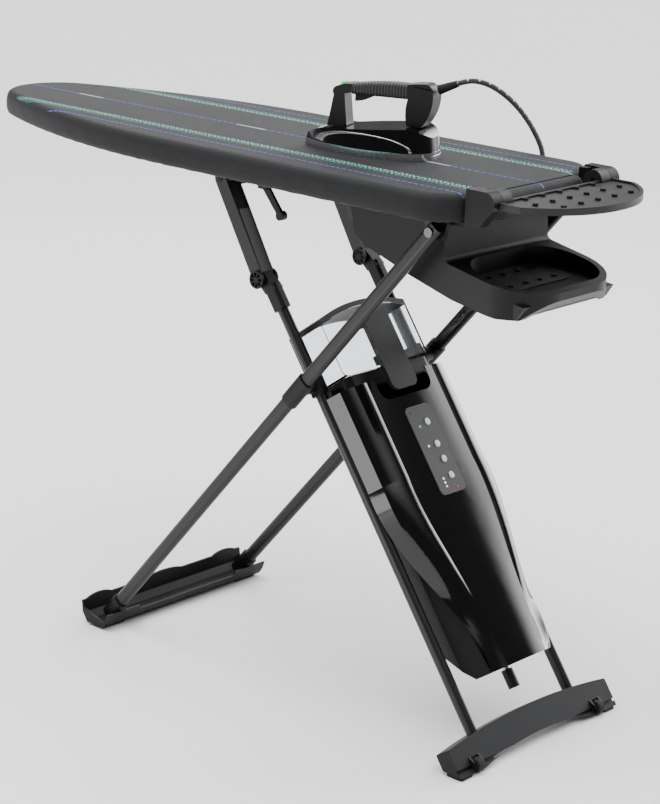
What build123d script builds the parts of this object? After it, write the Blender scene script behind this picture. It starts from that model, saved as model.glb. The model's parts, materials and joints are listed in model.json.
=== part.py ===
"""All-in-one ironing system: padded board on a folding X-frame with a leg-mounted steam generator.

Units are millimetres. +Z is up. X runs along the board from the nose (-X) to the square end (+X),
and Y runs across it. The origin lies on the floor under the middle of the whole object.
"""

from build123d import *
import os
from math import cos, pi, radians, sin, tan

os.makedirs("parts", exist_ok=True)

# ---------------------------------------------------------------- driving dimensions
board_length = 1200
board_half_width = 200
board_top = 908
cover_depth = 44
cover_round = 6
nose_x = -670
end_x = nose_x + board_length
end_shoulder_x = end_x - 32
end_tongue_half = 108
nose_r = 100
taper_turn = 24.0
taper_r = (board_half_width - nose_r * cos(radians(taper_turn))) / (1 - cos(radians(taper_turn)))
taper_end_x = nose_x + nose_r * (1 - sin(radians(taper_turn))) + taper_r * sin(radians(taper_turn))

leg_b_angle = 50.0
leg_a_angle = 125.8
top_pivot = Vector(450, 0, 845)
cross_pivot = Vector(195, 0, 541)
leg_b_y = 167
leg_a_y = 127
leg_b_foot = -652
leg_a_foot = -640
knee_s, knee_n = 197, -10
strut_pivot_s, strut_n = 375, 5
pivot_r = 5.0
running_gap = 0.05

housing_half_width = 130
rail_z = 851.5
hinge_x, hinge_z = 537, 900
plate_front_x = 670

iron_nose = Vector(76, -44, board_top + 0.3)
iron_yaw = 18.6
iron_length = 230

cord_d = 8.5
wheel_r = 12.0
wheel_axle_x, wheel_axle_z = 592, 13.5
wheel_y = 160
axle_r = 3


def finish(builder, name):
    """Label a finished piece and write its STEP file."""
    builder.part.label = name
    export_step(builder.part, f"parts/{name}.step")


def leg_dir(angle):
    """Unit vector up a leg that stands at this angle to the floor."""
    return Vector(cos(radians(angle)), 0, sin(radians(angle)))


def side_plane(origin, angle, y=0.0):
    """Drawing plane seen from the side: local X runs up the leg, local Y is square to it."""
    return Plane(origin=origin + Vector(0, y, 0), x_dir=leg_dir(angle), z_dir=(0, 1, 0))


def cut_plane(origin, angle, s, y=0.0):
    """Plane square to a leg at distance s up it: local X is -Y, local Y is the leg's front side."""
    up = leg_dir(angle)
    return Plane(origin=origin + up * s + Vector(0, y, 0), x_dir=(0, -1, 0), z_dir=up)


leg_a_side = side_plane(cross_pivot, leg_a_angle)
leg_b_side = side_plane(cross_pivot, leg_b_angle)
knee = leg_a_side.from_local_coords(Vector(knee_s, knee_n, 0))
strut_pivot = leg_a_side.from_local_coords(Vector(strut_pivot_s, strut_n, 0))
strut_angle = 180 - (strut_pivot - knee).get_angle(Vector(-1, 0, 0))
strut_length = (strut_pivot - knee).length
top_pivot_s = (top_pivot - cross_pivot).length


# ---------------------------------------------------------------- ironing board
def board_outline(inset):
    """Plan of the board: a tapering rounded nose, straight sides and a square end with a tongue."""
    with BuildSketch() as sketch:
        with BuildLine():
            for sign in (1, -1):
                wide = sign * board_half_width
                CenterArc((nose_x + nose_r, 0), nose_r, sign * (90 + taper_turn), sign * (90 - taper_turn))
                CenterArc((taper_end_x, wide - sign * taper_r), taper_r, sign * 90, sign * taper_turn)
                edge = Line((taper_end_x, wide), (end_shoulder_x - 66, wide))
                corner = RadiusArc(edge @ 1, (end_shoulder_x, wide - sign * 66), sign * 66)
                shoulder = Line(corner @ 1, (end_shoulder_x, sign * end_tongue_half))
                tongue = Line(shoulder @ 1, (end_x, sign * end_tongue_half))
                Line(tongue @ 1, (end_x, 0))
        make_face()
        notch_corners = sketch.vertices().filter_by_position(Axis.Y, -end_tongue_half, end_tongue_half)
        fillet(notch_corners.filter_by_position(Axis.X, end_shoulder_x, end_x), radius=15)
        if inset:
            offset(amount=-inset)
    return sketch.sketch


full_outline = board_outline(0)
rounded_outline = board_outline(cover_round)
pocket_outline = board_outline(9)
tray_outline = board_outline(9.5)
tray_inner = board_outline(12)
cover_bottom = board_top - cover_depth
tray_bottom = cover_bottom + 2
tray_ceiling = tray_bottom + 15.4

with BuildPart() as board_cover:
    for outline, height in ((rounded_outline, cover_depth), (full_outline, cover_depth - 2 * cover_round)):
        with BuildSketch(Plane.XY.offset(cover_bottom + (cover_depth - height) / 2)):
            add(outline)
        extrude(amount=height)
    with BuildSketch(Plane.XY.offset(cover_bottom)):
        add(pocket_outline)
    extrude(amount=cover_depth - 5, mode=Mode.SUBTRACT)
finish(board_cover, "board_cover")

with BuildPart() as felt_pad:
    with BuildSketch(Plane.XY.offset(tray_bottom + 18.5)):
        add(tray_outline)
    extrude(amount=cover_depth - 5 - 18.5 - 2 - 0.5)
finish(felt_pad, "felt_pad")

tray_hole_spacing = 60
with BuildPart() as board_tray:
    with BuildSketch(Plane.XY.offset(tray_bottom)):
        add(tray_outline)
    extrude(amount=18)
    with BuildSketch(Plane.XY.offset(tray_bottom)):
        add(tray_inner)
    extrude(amount=15.5, mode=Mode.SUBTRACT)
    with BuildSketch(Plane.XY.offset(tray_bottom + 15)):
        with Locations((-40, 0)):
            with GridLocations(tray_hole_spacing, tray_hole_spacing, 15, 5):
                SlotOverall(34, 14)
    extrude(amount=4, mode=Mode.SUBTRACT)
    for rib_y in (-98, 98):
        with BuildSketch(Plane.XY.offset(tray_bottom)):
            with Locations((60, rib_y)):
                Rectangle(860, 30)
        extrude(amount=15.6)
finish(board_tray, "board_tray")

# ---------------------------------------------------------------- housing with the iron bowl
bowl_back_x, bowl_front_x = 447, 605
rim_slope, floor_slope = 0.2, 0.116


def rim_height(x):
    """Height of the bowl's rim, which falls towards the front."""
    return 792 - rim_slope * (x - 445)


def floor_height(x):
    """Height of the bowl's floor, which falls more gently than the rim."""
    return 758.5 - floor_slope * (x - 475)


housing_top = tray_bottom - 0.1
with BuildPart() as housing_shell:
    with BuildSketch(Plane.XZ):
        with BuildLine():
            Polyline(
                (254, housing_top),
                (262, 808),
                (284, 791),
                (380, 759),
                (463, 736),
                (545, 722),
                (577, 722),
                (bowl_front_x, 748),
                (bowl_front_x, rim_height(bowl_front_x)),
                (bowl_back_x, rim_height(bowl_back_x)),
                (bowl_back_x - 6, housing_top),
                (254, housing_top),
            )
        make_face()
    extrude(amount=housing_half_width, both=True)
    # rounded front corners, all the way down
    with BuildSketch(Plane.XY.offset(700)):
        with Locations(((254 + bowl_front_x) / 2 - 60, 0)):
            RectangleRounded(bowl_front_x - 254 + 120, 2 * housing_half_width, 85)
    extrude(amount=200, mode=Mode.INTERSECT)
    long_edges = housing_shell.edges().filter_by(Axis.Y)
    fillet(long_edges.filter_by_position(Axis.Z, 735, 815).filter_by_position(Axis.X, 250, 470), radius=10)
    # iron bowl
    with BuildSketch(Plane.XY.offset(870)):
        with Locations(((bowl_back_x + bowl_front_x) / 2 - 4, 0)):
            RectangleRounded(bowl_front_x - bowl_back_x - 22, 2 * housing_half_width - 28, 62)
    extrude(amount=-200, mode=Mode.SUBTRACT)
    with BuildSketch(Plane.XZ):
        with BuildLine():
            Polyline(
                (bowl_back_x + 3, floor_height(bowl_back_x + 3)),
                (bowl_front_x - 12, floor_height(bowl_front_x - 12)),
                (bowl_front_x - 12, 750),
                (577, 725),
                (545, 725),
                (463, 739),
                (bowl_back_x + 3, 744),
                close=True,
            )
        make_face()
    extrude(amount=housing_half_width - 16, both=True)
    # fan chamber inside, open at the top under the board
    with BuildSketch(Plane.XZ):
        with BuildLine():
            Polyline(
                (258, housing_top),
                (266, 811),
                (286, 795),
                (381, 763),
                (438, 748),
                (438, housing_top),
                close=True,
            )
        make_face()
    extrude(amount=housing_half_width - 4, both=True, mode=Mode.SUBTRACT)
finish(housing_shell, "housing_shell")

with BuildPart() as bowl_mat:
    mat_x = 497
    mat_plane = Plane(
        origin=(mat_x, 0, floor_height(mat_x) + 0.1), x_dir=(1, 0, -floor_slope), z_dir=(floor_slope, 0, 1)
    )
    with BuildSketch(mat_plane):
        RectangleRounded(78, 168, 18)
    extrude(amount=2)
    with BuildSketch(mat_plane.offset(2)):
        with GridLocations(44, 36, 2, 4):
            Circle(4.5)
    extrude(amount=2.5)
finish(bowl_mat, "bowl_mat")

motor_x = 384
with BuildPart() as fan_motor:
    with BuildSketch(Plane.XY.offset(800)):
        with Locations((motor_x, 0)):
            Circle(34)
    extrude(amount=44)
    with BuildSketch(Plane.XY.offset(776)):
        with Locations((motor_x, 0)):
            Circle(pivot_r)
    extrude(amount=24)
    with BuildSketch(Plane.XY.offset(844)):
        with Locations((motor_x, 0)):
            Circle(20)
    extrude(amount=18)
    with BuildSketch(Plane.XY.offset(862)):
        with Locations((motor_x, 0)):
            Rectangle(34, 224)
    extrude(amount=tray_bottom - 0.1 - 862)
finish(fan_motor, "fan_motor")

with BuildPart() as fan_impeller:
    with BuildSketch(Plane.XY.offset(779)):
        with Locations((motor_x, 0)):
            Circle(40)
            Circle(pivot_r + running_gap, mode=Mode.SUBTRACT)
    extrude(amount=3)
    with BuildSketch(Plane.XY.offset(782)):
        with Locations((motor_x, 0)):
            with PolarLocations(28, 12):
                Rectangle(20, 2)
    extrude(amount=14)
finish(fan_impeller, "fan_impeller")

# ---------------------------------------------------------------- leg hinges under the board
with BuildPart() as pivot_brackets:
    for sign in (1, -1):
        with BuildSketch(Plane.XZ.offset(-sign * 149)):
            with BuildLine():
                Polyline(
                    (top_pivot.X - 34, tray_ceiling),
                    (top_pivot.X - 34, tray_bottom),
                    (top_pivot.X - 13, top_pivot.Z - 13),
                    (top_pivot.X + 13, top_pivot.Z - 13),
                    (top_pivot.X + 20, tray_bottom),
                    (top_pivot.X + 20, tray_ceiling),
                    close=True,
                )
            make_face()
            with Locations((top_pivot.X, top_pivot.Z)):
                Circle(pivot_r, mode=Mode.SUBTRACT)
        extrude(amount=-sign * 7)
finish(pivot_brackets, "pivot_brackets")

with BuildPart() as pivot_pins:
    for sign in (1, -1):
        with BuildSketch(Plane.XZ.offset(-sign * 149)):
            with Locations((top_pivot.X, top_pivot.Z)):
                Circle(pivot_r)
        extrude(amount=-sign * 28)
        with BuildSketch(Plane.XZ.offset(-sign * 175.6)):
            with Locations((top_pivot.X, top_pivot.Z)):
                Circle(7.5)
        extrude(amount=-sign * 2.4)
finish(pivot_pins, "pivot_pins")

rail_length, slide_travel = 245, 98
rail_mid_x = strut_pivot.X + slide_travel / 2
with BuildPart() as slide_rails:
    for rail_y in (-98, 98):
        with BuildSketch(Plane.XY.offset(rail_z)):
            with Locations((rail_mid_x, rail_y)):
                Rectangle(rail_length, 16)
        extrude(amount=tray_bottom - 0.1 - rail_z)
        with BuildSketch(Plane.XY.offset(rail_z)):
            with Locations((rail_mid_x, rail_y)):
                Rectangle(rail_length, 8)
        extrude(amount=9, mode=Mode.SUBTRACT)
finish(slide_rails, "slide_rails")

with BuildPart() as carriage:
    with BuildSketch(Plane.XY.offset(836)):
        with Locations((strut_pivot.X, 0)):
            Rectangle(24, 218)
    extrude(amount=13)
    for sign in (1, -1):
        with BuildSketch(Plane.XY.offset(840)):
            with Locations((strut_pivot.X, sign * 98)):
                Rectangle(70, 7.2)
        extrude(amount=19.6)
        with BuildSketch(Plane.XZ.offset(-sign * 106.5)):
            with Locations((strut_pivot.X, strut_pivot.Z)):
                Circle(12)
        extrude(amount=-sign * 5)
        with BuildSketch(Plane.XZ.offset(-sign * 107)):
            with Locations((strut_pivot.X, strut_pivot.Z)):
                Circle(pivot_r)
        extrude(amount=-sign * 36)
finish(carriage, "carriage")

# ---------------------------------------------------------------- folding struts with their knee discs
strut_side = side_plane(knee, strut_angle)
with BuildPart() as struts:
    for sign in (1, -1):
        for cheek_y in (112, 138):
            with BuildSketch(strut_side.offset(sign * (cheek_y + 2))):
                with Locations((strut_length / 2, 0)):
                    SlotOverall(strut_length + 24, 24)
                with Locations((strut_length, 0)):
                    Circle(pivot_r + running_gap, mode=Mode.SUBTRACT)
            extrude(amount=2, both=True)
        with BuildSketch(strut_side.offset(sign * 127)):
            with Locations((strut_length - 34, 9)):
                Rectangle(50, 4)
        extrude(amount=11, both=True)
finish(struts, "struts")

disc_r = 15
with BuildPart() as knee_discs:
    for sign in (1, -1):
        for face_y, turn in ((142, 1), (112, -1)):
            with BuildSketch(strut_side.offset(sign * face_y)):
                Circle(disc_r)
                Circle(disc_r - 3, mode=Mode.SUBTRACT)
                Circle(4.5)
                with PolarLocations(8.2, 8):
                    Rectangle(8.6, 2.2)
            extrude(amount=sign * turn * (5 if turn > 0 else 3.5))
            with BuildSketch(strut_side.offset(sign * face_y)):
                Circle(disc_r)
            extrude(amount=sign * turn * 1.5)
finish(knee_discs, "knee_discs")

# ---------------------------------------------------------------- leg B, the outer pair
with BuildPart() as leg_b_tubes:
    for sign in (1, -1):
        with BuildSketch(cut_plane(cross_pivot, leg_b_angle, leg_b_foot, sign * leg_b_y)):
            SlotOverall(25, 16, rotation=90)
        extrude(amount=top_pivot_s + 13 - leg_b_foot)
        with BuildSketch(cut_plane(cross_pivot, leg_b_angle, leg_b_foot, sign * leg_b_y)):
            SlotOverall(21, 12, rotation=90)
        extrude(amount=top_pivot_s - 20 - leg_b_foot, mode=Mode.SUBTRACT)
    with BuildSketch(leg_b_side):
        with Locations((top_pivot_s, 0)):
            Circle(pivot_r + 3 * running_gap)
    extrude(amount=200, both=True, mode=Mode.SUBTRACT)
finish(leg_b_tubes, "leg_b_tubes")

with BuildPart() as crossing_sleeves:
    for sign in (1, -1):
        with BuildSketch(cut_plane(cross_pivot, leg_b_angle, -34, sign * leg_b_y)):
            SlotOverall(31, 22, rotation=90)
            SlotOverall(25.1, 16.1, rotation=90, mode=Mode.SUBTRACT)
        extrude(amount=56)
        with BuildSketch(Plane.XZ.offset(-sign * 158.6)):
            with Locations((cross_pivot.X, cross_pivot.Z)):
                Circle(13)
        extrude(amount=sign * 5)
        with BuildSketch(Plane.XZ.offset(-sign * 158.6)):
            with Locations((cross_pivot.X, cross_pivot.Z)):
                Circle(pivot_r)
        extrude(amount=sign * 19)
finish(crossing_sleeves, "crossing_sleeves")

trough_x = -247
foot_half = 204
with BuildPart() as foot_b:
    with BuildSketch(Plane.XZ):
        with BuildLine():
            Polyline(
                (trough_x - 20, 4),
                (trough_x - 32, 20),
                (trough_x - 36, 48),
                (trough_x - 32, 48),
                (trough_x - 27.5, 20),
                (trough_x - 17, 9),
                (trough_x + 17, 9),
                (trough_x + 26, 18),
                (trough_x + 32, 32),
                (trough_x + 36, 32),
                (trough_x + 30, 16),
                (trough_x + 20, 4),
                close=True,
            )
        make_face()
    extrude(amount=foot_half, both=True)
    # humps along the back wall
    with BuildSketch(Plane.YZ.offset(trough_x - 40)):
        with Locations((0, 60)):
            Rectangle(2 * foot_half + 2, 36)
        for hump_y, half in ((-162, 42), (0, 66), (162, 42)):
            with Locations((hump_y, 30)):
                Ellipse(half, 18, mode=Mode.SUBTRACT)
    extrude(amount=20, mode=Mode.SUBTRACT)
    # front lip, lower between the legs
    with BuildSketch(Plane.YZ.offset(trough_x + 20)):
        with Locations((0, 32)):
            SlotOverall(250, 18)
    extrude(amount=20, mode=Mode.SUBTRACT)
    # end walls
    for sign in (1, -1):
        with BuildSketch(Plane.XZ.offset(-sign * foot_half)):
            with BuildLine():
                Polyline(
                    (trough_x - 20, 4),
                    (trough_x - 32, 20),
                    (trough_x - 33, 30),
                    (trough_x + 28, 12),
                    (trough_x + 20, 4),
                    close=True,
                )
            make_face()
        extrude(amount=sign * 4)
    # sockets that hold the leg tubes
    for sign in (1, -1):
        with BuildSketch(cut_plane(cross_pivot, leg_b_angle, -640, sign * leg_b_y)):
            SlotOverall(32, 23, rotation=90)
        extrude(amount=-45)
    split(bisect_by=Plane.XY.offset(4), keep=Keep.TOP)
    for sign in (1, -1):
        with BuildSketch(cut_plane(cross_pivot, leg_b_angle, leg_b_foot - 0.1, sign * leg_b_y)):
            SlotOverall(25.1, 16.1, rotation=90)
        extrude(amount=60, mode=Mode.SUBTRACT)
finish(foot_b, "foot_b")

with BuildPart() as foot_b_pads:
    with BuildSketch():
        with Locations((trough_x, -170), (trough_x, 170)):
            RectangleRounded(34, 56, 6)
    extrude(amount=4)
finish(foot_b_pads, "foot_b_pads")

# ---------------------------------------------------------------- leg A, the inner pair
with BuildPart() as leg_a_tubes:
    for sign in (1, -1):
        with BuildSketch(cut_plane(cross_pivot, leg_a_angle, leg_a_foot, sign * leg_a_y)):
            Ellipse(8.5, 10.5)
            Ellipse(7, 9, mode=Mode.SUBTRACT)
        extrude(amount=162 - leg_a_foot)
finish(leg_a_tubes, "leg_a_tubes")

with BuildPart() as leg_a_fittings:
    for sign in (1, -1):
        with BuildSketch(cut_plane(cross_pivot, leg_a_angle, 136, sign * leg_a_y)):
            RectangleRounded(21, 27, 6)
            Ellipse(8.55, 10.55, mode=Mode.SUBTRACT)
        extrude(amount=26)
        with BuildSketch(cut_plane(cross_pivot, leg_a_angle, 162, sign * leg_a_y)):
            RectangleRounded(21, 27, 6)
        extrude(amount=18)
        with BuildSketch(leg_a_side.offset(sign * leg_a_y)):
            with BuildLine():
                Polyline((170, 13), (knee_s + 8, 2), (knee_s + 8, -20), (170, -13), close=True)
            make_face()
        extrude(amount=10, both=True)
    # collars at the crossing, with a boss for the crossing pin
    for sign in (1, -1):
        with BuildSketch(cut_plane(cross_pivot, leg_a_angle, -19, sign * leg_a_y)):
            RectangleRounded(21, 29, 6)
            Ellipse(8.55, 10.55, mode=Mode.SUBTRACT)
        extrude(amount=38)
        with BuildSketch(Plane.XZ.offset(-sign * 137)):
            with Locations((cross_pivot.X, cross_pivot.Z)):
                Circle(13)
                Circle(pivot_r + running_gap, mode=Mode.SUBTRACT)
        extrude(amount=-sign * 16)
finish(leg_a_fittings, "leg_a_fittings")

bar_half = 207
bar_plane = Plane(
    origin=leg_a_side.from_local_coords(Vector(0, -15, 0)),
    x_dir=(0, 1, 0),
    z_dir=(leg_a_side.y_dir.X, 0, leg_a_side.y_dir.Z),
)
with BuildPart() as foot_a:
    with BuildSketch(bar_plane):
        with BuildLine():
            ThreePointArc((-bar_half, -622), (0, -607), (bar_half, -622))
            Line((bar_half, -622), (bar_half, -690))
            Line((bar_half, -690), (-bar_half, -690))
            Line((-bar_half, -690), (-bar_half, -622))
        make_face()
    extrude(amount=30)
    fillet(foot_a.edges().filter_by(Axis.Z, tolerance=60).group_by(Axis.Z)[-1], radius=3)
    split(bisect_by=Plane.XY.offset(6), keep=Keep.TOP)
    # arched underside between the pads
    with BuildSketch(Plane.YZ.offset(480)):
        with BuildLine():
            ThreePointArc((-145, 6), (0, 19), (145, 6))
            Line((145, 6), (-145, 6))
        make_face()
    extrude(amount=150, mode=Mode.SUBTRACT)
    # wheel forks
    for sign in (1, -1):
        for cheek_y in (wheel_y - 13, wheel_y + 9):
            with BuildSketch(Plane.XZ.offset(-sign * cheek_y)):
                with BuildLine():
                    Polyline(
                        (wheel_axle_x - 30, 9),
                        (wheel_axle_x + 3, 9),
                        (wheel_axle_x + 7, wheel_axle_z),
                        (wheel_axle_x + 3, 21),
                        (wheel_axle_x - 30, 40),
                        close=True,
                    )
                make_face()
            extrude(amount=-sign * 4)
    with BuildSketch(Plane.XZ):
        with Locations((wheel_axle_x, wheel_axle_z)):
            Circle(axle_r)
    extrude(amount=bar_half, both=True, mode=Mode.SUBTRACT)
    for sign in (1, -1):
        with BuildSketch(Plane.XZ.offset(-sign * (wheel_y - 9))):
            with Locations((wheel_axle_x, wheel_axle_z)):
                Circle(wheel_r + 2)
        extrude(amount=-sign * 18, mode=Mode.SUBTRACT)
    # sockets for the leg tubes
    for sign in (1, -1):
        with BuildSketch(cut_plane(cross_pivot, leg_a_angle, leg_a_foot - 0.1, sign * leg_a_y)):
            Ellipse(8.55, 10.55)
        extrude(amount=60, mode=Mode.SUBTRACT)
finish(foot_a, "foot_a")

with BuildPart() as foot_a_pads:
    with BuildSketch():
        with Locations((582, -190), (582, 190)):
            RectangleRounded(32, 30, 5)
    extrude(amount=6)
finish(foot_a_pads, "foot_a_pads")

with BuildPart() as wheel_axles:
    for sign in (1, -1):
        with BuildSketch(Plane.XZ.offset(-sign * (wheel_y - 13))):
            with Locations((wheel_axle_x, wheel_axle_z)):
                Circle(axle_r)
        extrude(amount=-sign * 26)
finish(wheel_axles, "wheel_axles")

for sign, side in ((-1, "near"), (1, "far")):
    with BuildPart() as wheel:
        with BuildSketch(Plane.XZ.offset(-sign * wheel_y)):
            with Locations((wheel_axle_x, wheel_axle_z)):
                Circle(wheel_r)
                Circle(axle_r + running_gap, mode=Mode.SUBTRACT)
        extrude(amount=7, both=True)
        fillet(wheel.edges().filter_by(GeomType.CIRCLE).sort_by(SortBy.RADIUS)[-2:], radius=2.5)
    finish(wheel, f"wheel_{side}")

# ---------------------------------------------------------------- steam generator on leg A
belly_foot, belly_head = -539, -35
cover_head = -32
wall = 3


def leg_a_cut(s):
    """Plane square to leg A at distance s: local X across the board, local Y to the leg's front."""
    return cut_plane(cross_pivot, leg_a_angle, s)


def across(n):
    """Plane facing the leg's front at height n above its centre line: local X is Y, local Y is s."""
    out = leg_a_side.y_dir
    return Plane(origin=cross_pivot + out * n, x_dir=(0, 1, 0), z_dir=out)


belly_outline = ((85, -42), (100, -20), (100, 10), (80, 46))
with BuildPart() as generator_belly:
    with BuildSketch(leg_a_cut(belly_foot)):
        with BuildLine():
            left = [(-x, y) for x, y in reversed(belly_outline)]
            Polyline(*belly_outline, *left, close=True)
        make_face()
    extrude(amount=belly_head - belly_foot)
    # sloping underside at the lower end
    with BuildSketch(leg_a_side):
        with BuildLine():
            Polyline((-448, -42), (belly_foot - 2, 25.5), (belly_foot - 2, -50), (-448, -50), close=True)
        make_face()
    extrude(amount=110, both=True, mode=Mode.SUBTRACT)
    fillet(generator_belly.edges().filter_by(lambda edge: edge.length > 380), radius=6)
    with BuildSketch(leg_a_cut(belly_foot + wall)):
        with BuildLine():
            inner = ((82, -39), (97, -19), (97, 9), (77, 47))
            left = [(-x, y) for x, y in reversed(inner)]
            Polyline(*inner, *left, close=True)
        make_face()
    extrude(amount=belly_head - belly_foot - 2 * wall, mode=Mode.SUBTRACT)
    # the sloping underside keeps its wall
    with BuildSketch(leg_a_side):
        with BuildLine():
            Polyline(
                (-448, -42), (belly_foot, 24), (belly_foot, 30), (belly_foot + 5, 26), (-446, -37.5),
                (-440, -39), (-440, -42), close=True,
            )
        make_face()
    extrude(amount=79, both=True)
    # flanges that lie on the front of the leg tubes
    for sign in (1, -1):
        with BuildSketch(across(10.6)):
            with Locations((sign * 112.5, -140)):
                Rectangle(31, 190)
        extrude(amount=3)
    with BuildSketch(leg_a_cut(-560)):
        with Locations((0, 8.5)):
            Circle(6.3)
    extrude(amount=70, mode=Mode.SUBTRACT)
finish(generator_belly, "generator_belly")


def cover_section(s, half, edge_n, inset=0.0):
    """Cross-section of the glossy cover: upright sides and a rounded crown."""
    top = max(40, edge_n + 4)
    wide = half - inset
    if inset:
        edge_n -= 2
    with BuildSketch(leg_a_cut(s)) as sketch:
        with BuildLine():
            Line((-wide, edge_n), (wide, edge_n))
            Line((wide, edge_n), (wide - 5, top))
            ThreePointArc((wide - 5, top), (0.88 * wide, 53 - inset), (0.62 * wide, 60 - inset))
            ThreePointArc((0.62 * wide, 60 - inset), (0, 64 - inset), (-0.62 * wide, 60 - inset))
            ThreePointArc((-0.62 * wide, 60 - inset), (-0.88 * wide, 53 - inset), (5 - wide, top))
            Line((5 - wide, top), (-wide, edge_n))
        make_face()
    return sketch.sketch


cover_stations = (
    (-200, 132, 11),
    (-285, 127.5, 14),
    (-370, 106, 26),
    (-455, 89, 46.6),
    (belly_foot, 77, 46.8),
)
with BuildPart() as generator_cover:
    for inset, mode in ((0, Mode.ADD), (wall, Mode.SUBTRACT)):
        head_section = cover_section(*cover_stations[0], inset)
        extrude(head_section, amount=cover_head - cover_stations[0][0], dir=leg_dir(leg_a_angle), mode=mode)
        stations = [
            cover_section(s + (inset if s == belly_foot else 0), half, edge_n, inset)
            for s, half, edge_n in cover_stations
        ]
        loft(sections=stations, mode=mode)
    # notch for the tank handle
    with BuildSketch(across(30)):
        with Locations((0, -41)):
            RectangleRounded(128, 58, 20)
    extrude(amount=60, mode=Mode.SUBTRACT)
    # opening for the control panel
    with BuildSketch(across(50)):
        with Locations((0, -170)):
            RectangleRounded(62.4, 156.4, 10)
    extrude(amount=30, mode=Mode.SUBTRACT)
finish(generator_cover, "generator_cover")

panel_mid_s, button_y, lamp_y = -170, 8, -13
button_stations = (-123, -163, -190, -219)
button_r = 6
lamp_stations = (-128, -163, -221, -228, -235)
with BuildPart() as control_panel:
    with BuildSketch(across(58)):
        with Locations((0, panel_mid_s)):
            RectangleRounded(72, 168, 12)
    extrude(amount=2)
    with BuildSketch(across(60)):
        with Locations((0, panel_mid_s)):
            RectangleRounded(62, 156, 10)
    extrude(amount=5.5)
    with BuildSketch(across(65.5)):
        with Locations([(button_y, s) for s in button_stations]):
            Circle(button_r + 0.3)
    extrude(amount=-5.5, mode=Mode.SUBTRACT)
    with BuildSketch(across(65.5)):
        with Locations((0, -102)):
            RectangleRounded(40, 5, 2)
    extrude(amount=0.6)
finish(control_panel, "control_panel")

with BuildPart() as panel_lamps:
    with BuildSketch(across(65.5)):
        with Locations([(lamp_y, s) for s in lamp_stations]):
            Circle(2)
        with Locations((button_y + 3, -240)):
            Circle(1.6)
    extrude(amount=0.8)
finish(panel_lamps, "panel_lamps")

for number, button_s in enumerate(button_stations, start=1):
    with BuildPart() as button:
        with BuildSketch(across(61.8)):
            with Locations((button_y, button_s)):
                Circle(button_r)
        extrude(amount=5.4)
        fillet(button.edges().filter_by(GeomType.CIRCLE).sort_by(lambda edge: edge.center().X)[-1], radius=1)
    finish(button, f"panel_button_{number}")

boiler_r, boiler_y = 33, -48
with BuildPart() as boiler:
    with BuildSketch(leg_a_cut(-430)):
        with Locations((-boiler_y, 4)):
            Circle(boiler_r)
    extrude(amount=300)
    fillet(boiler.edges().filter_by(GeomType.CIRCLE), radius=14)
    # saddle that stands on the rear wall
    with BuildSketch(leg_a_cut(-380)):
        with Locations((-boiler_y, -32.9)):
            Rectangle(34, 12)
    extrude(amount=200)
    # drain pipe to the lower end
    with BuildSketch(leg_a_cut(-550)):
        with Locations((0, 8.5)):
            Circle(6)
    extrude(amount=190)
    with BuildSketch(leg_a_cut(-372)):
        with Locations((10, 8.5)):
            RectangleRounded(44, 12, 5)
    extrude(amount=12)
finish(boiler, "boiler")

with BuildPart() as pump:
    with BuildSketch(leg_a_cut(-300)):
        with Locations((-46, 2)):
            RectangleRounded(52, 50, 8)
    extrude(amount=70)
    with BuildSketch(leg_a_cut(-230)):
        with Locations((-46, 2)):
            Circle(18)
    extrude(amount=60)
    # foot that stands on the rear wall
    with BuildSketch(leg_a_cut(-290)):
        with Locations((-46, -30.4)):
            Rectangle(40, 17)
    extrude(amount=50)
finish(pump, "pump")

drain_n = 8.5
with BuildPart() as drain_cap:
    with BuildSketch(leg_a_cut(-575)):
        with Locations((0, drain_n)):
            RegularPolygon(radius=10, side_count=12)
    extrude(amount=32)
    with BuildSketch(leg_a_cut(-551)):
        with Locations((0, drain_n)):
            Circle(6 + running_gap)
    extrude(amount=10, mode=Mode.SUBTRACT)
finish(drain_cap, "drain_cap")

inlet_s, inlet_y = -130, 55
with BuildPart() as mains_inlet:
    with BuildSketch(across(-42.1)):
        with Locations((inlet_y, inlet_s)):
            RectangleRounded(48, 30, 4)
            Rectangle(28, 20, mode=Mode.SUBTRACT)
    extrude(amount=-7)
    with BuildSketch(across(-42.1)):
        with Locations((inlet_y, inlet_s)):
            RectangleRounded(48, 30, 4)
    extrude(amount=-2)
    with BuildSketch(across(-43)):
        with Locations((inlet_y, inlet_s)):
            with Locations((-7, -2), (0, 3), (7, -2)):
                Rectangle(2, 4)
    extrude(amount=-5)
finish(mains_inlet, "mains_inlet")

with BuildPart() as screws:
    with BuildSketch(across(-42.1)):
        with Locations((0, -240)):
            with GridLocations(140, 360, 2, 2):
                Circle(4.5)
                RectangleRounded(5.5, 1.2, 0.5, mode=Mode.SUBTRACT)
    extrude(amount=-2)
    with BuildSketch(across(13.7)):
        with Locations([(sign * 112, s) for sign in (1, -1) for s in (-70, -205)]):
            Circle(4.5)
    extrude(amount=2.5)
finish(screws, "screws")

with BuildPart() as leg_catch:
    with BuildSketch(leg_a_side.offset(135.6)):
        with Locations((-115, 4)):
            RectangleRounded(34, 12, 3)
    extrude(amount=5)
finish(leg_catch, "leg_catch")

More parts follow.
